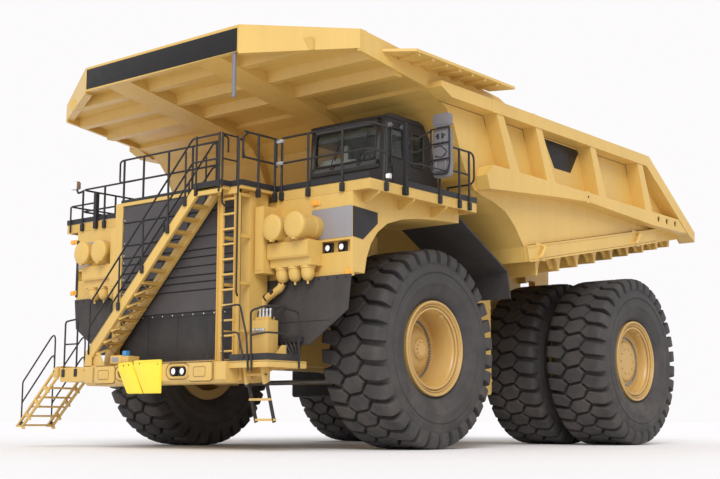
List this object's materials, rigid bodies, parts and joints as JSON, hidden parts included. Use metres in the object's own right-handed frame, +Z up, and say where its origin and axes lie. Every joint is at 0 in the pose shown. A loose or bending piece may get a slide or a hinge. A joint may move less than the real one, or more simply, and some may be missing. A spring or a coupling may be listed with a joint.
{
  "type": "mining dump truck",
  "caption": "Ultra-class rigid mining haul truck with a tipping bed and canopy, steered front wheels, twin rear wheels, hoists, cab with door, decks, stairs and boarding ladder.",
  "frame": {"origin": "on the ground under the middle of the truck's box", "axes": "+Z up, -Y is the front of the truck, +X is its left"},
  "size_m": [9.84, 14.815, 8.0098],
  "materials": {
    "body_paint": "satin yellow-tan paint",
    "black_paint": "satin black paint",
    "bare_steel": "machined steel",
    "bright_rod": "hard chrome",
    "tyre_rubber": "rubber",
    "flap_rubber": "matt rubber",
    "chock_yellow": "gloss bright yellow",
    "lamp_lens": "clear lens",
    "amber_lens": "amber lens",
    "cab_pane": "tinted pane",
    "seat_cloth": "woven cloth",
    "mirror_grey": "moulded grey"
  },
  "bodies": {
    "chassis": {"main_frame": "body_paint", "cross_members": "body_paint", "front_bumper": "body_paint", "wheel_chocks": "chock_yellow", "radiator_frame": "body_paint", "radiator_grille": "black_paint", "engine_block": "bare_steel", "driveline": "bare_steel", "rear_axle": "body_paint", "rear_struts": "bare_steel", "front_struts": "body_paint", "hydraulic_tank": "body_paint", "fuel_tank": "body_paint", "upper_deck": "body_paint", "front_fenders": "body_paint", "air_cleaners": "body_paint", "head_lamps": "lamp_lens", "marker_lamps": "amber_lens", "cab_shell": "black_paint", "cab_roof": "black_paint", "cab_glass": "cab_pane", "cab_interior": "seat_cloth", "handrails": "black_paint", "diagonal_stair": "body_paint", "stair_rails": "black_paint", "centre_ladder": "body_paint", "lower_platform": "body_paint", "mirrors": "mirror_grey", "mud_flaps": "flap_rubber"},
    "bed": {"bed_floor": "body_paint", "bed_underframe": "body_paint", "bed_side_left": "body_paint", "bed_side_right": "body_paint", "bed_front_wall": "body_paint", "bed_canopy": "body_paint", "canopy_wings": "body_paint"},
    "cab_door": {"cab_door": "black_paint", "door_glass": "cab_pane"},
    "boarding_ladder": {"boarding_ladder": "body_paint"},
    "tie_rod": {"tie_rod": "bare_steel"},
    "hoist_barrel_left": {"hoist_barrel_left": "body_paint"},
    "hoist_tube_left": {"hoist_tube_left": "bare_steel"},
    "hoist_rod_left": {"hoist_rod_left": "bright_rod"},
    "knuckle_left": {"knuckle_left": "body_paint"},
    "front_wheel_left": {"tyre_front_left": "tyre_rubber", "rim_front_left": "body_paint"},
    "rear_wheels_left": {"tyres_rear_left": "tyre_rubber", "rims_rear_left": "body_paint"},
    "hoist_barrel_right": {"hoist_barrel_right": "body_paint"},
    "hoist_tube_right": {"hoist_tube_right": "bare_steel"},
    "hoist_rod_right": {"hoist_rod_right": "bright_rod"},
    "knuckle_right": {"knuckle_right": "body_paint"},
    "front_wheel_right": {"tyre_front_right": "tyre_rubber", "rim_front_right": "body_paint"},
    "rear_wheels_right": {"tyres_rear_right": "tyre_rubber", "rims_rear_right": "body_paint"}
  },
  "joints": [
    {"name": "bed_tilt", "type": "hinge", "parent": "chassis", "child": "bed", "pos_m": [0, 5.2275, 3.45], "axis": [-1, 0, 0], "range_deg": [0, 46]},
    {"name": "hoist_swing_left", "type": "hinge", "parent": "chassis", "child": "hoist_barrel_left", "pos_m": [1.275, 1.5775, 1.55], "axis": [-1, 0, 0], "range_deg": [0, 32.25]},
    {"name": "hoist_stage_left", "type": "slide", "parent": "hoist_barrel_left", "child": "hoist_tube_left", "axis": [0, -0.4392, 0.8984], "range_m": [0, 1.545]},
    {"name": "hoist_rod_left", "type": "slide", "parent": "hoist_tube_left", "child": "hoist_rod_left", "axis": [0, -0.4392, 0.8984], "range_m": [0, 1.545]},
    {"name": "hoist_swing_right", "type": "hinge", "parent": "chassis", "child": "hoist_barrel_right", "pos_m": [-1.275, 1.5775, 1.55], "axis": [-1, 0, 0], "range_deg": [0, 32.25]},
    {"name": "hoist_stage_right", "type": "slide", "parent": "hoist_barrel_right", "child": "hoist_tube_right", "axis": [0, -0.4392, 0.8984], "range_m": [0, 1.545]},
    {"name": "hoist_rod_right", "type": "slide", "parent": "hoist_tube_right", "child": "hoist_rod_right", "axis": [0, -0.4392, 0.8984], "range_m": [0, 1.545]},
    {"name": "steer_left", "type": "hinge", "parent": "chassis", "child": "knuckle_left", "pos_m": [2.05, -3.3225, 2], "axis": [0, 0, 1], "range_deg": [-40, 40]},
    {"name": "steer_right", "type": "hinge", "parent": "chassis", "child": "knuckle_right", "pos_m": [-2.05, -3.3225, 2], "axis": [0, 0, 1], "range_deg": [-40, 40]},
    {"name": "tie_rod_swing", "type": "hinge", "parent": "knuckle_left", "child": "tie_rod", "pos_m": [2.05, -2.6225, 1.42], "axis": [0, 0, 1], "range_deg": [-40, 40]},
    {"name": "front_wheel_left_spin", "type": "hinge", "parent": "knuckle_left", "child": "front_wheel_left", "pos_m": [3.267, -3.3225, 2], "axis": [1, 0, 0], "continuous": true},
    {"name": "rear_wheels_left_spin", "type": "hinge", "parent": "chassis", "child": "rear_wheels_left", "pos_m": [3.117, 3.8725, 2], "axis": [1, 0, 0], "continuous": true},
    {"name": "front_wheel_right_spin", "type": "hinge", "parent": "knuckle_right", "child": "front_wheel_right", "pos_m": [-3.267, -3.3225, 2], "axis": [1, 0, 0], "continuous": true},
    {"name": "rear_wheels_right_spin", "type": "hinge", "parent": "chassis", "child": "rear_wheels_right", "pos_m": [-3.117, 3.8725, 2], "axis": [1, 0, 0], "continuous": true},
    {"name": "cab_door_hinge", "type": "hinge", "parent": "chassis", "child": "cab_door", "pos_m": [3.745, -3.9925, 5.7], "axis": [0, 0, 1], "range_deg": [0, 80]},
    {"name": "boarding_ladder_hinge", "type": "hinge", "parent": "chassis", "child": "boarding_ladder", "pos_m": [-3.05, -6.9225, 1.58], "axis": [0, 1, 0], "range_deg": [0, 90]}
  ],
  "couplings": [
    {"joint": "hoist_swing_left", "follows": "bed_tilt", "ratio": 0.70075},
    {"joint": "hoist_stage_left", "follows": "bed_tilt", "m_per_rad": 1.9232},
    {"joint": "hoist_rod_left", "follows": "bed_tilt", "m_per_rad": 1.9232},
    {"joint": "hoist_swing_right", "follows": "bed_tilt", "ratio": 0.70075},
    {"joint": "hoist_stage_right", "follows": "bed_tilt", "m_per_rad": 1.9232},
    {"joint": "hoist_rod_right", "follows": "bed_tilt", "m_per_rad": 1.9232},
    {"joint": "steer_right", "follows": "steer_left", "ratio": 1},
    {"joint": "tie_rod_swing", "follows": "steer_left", "ratio": -1}
  ]
}
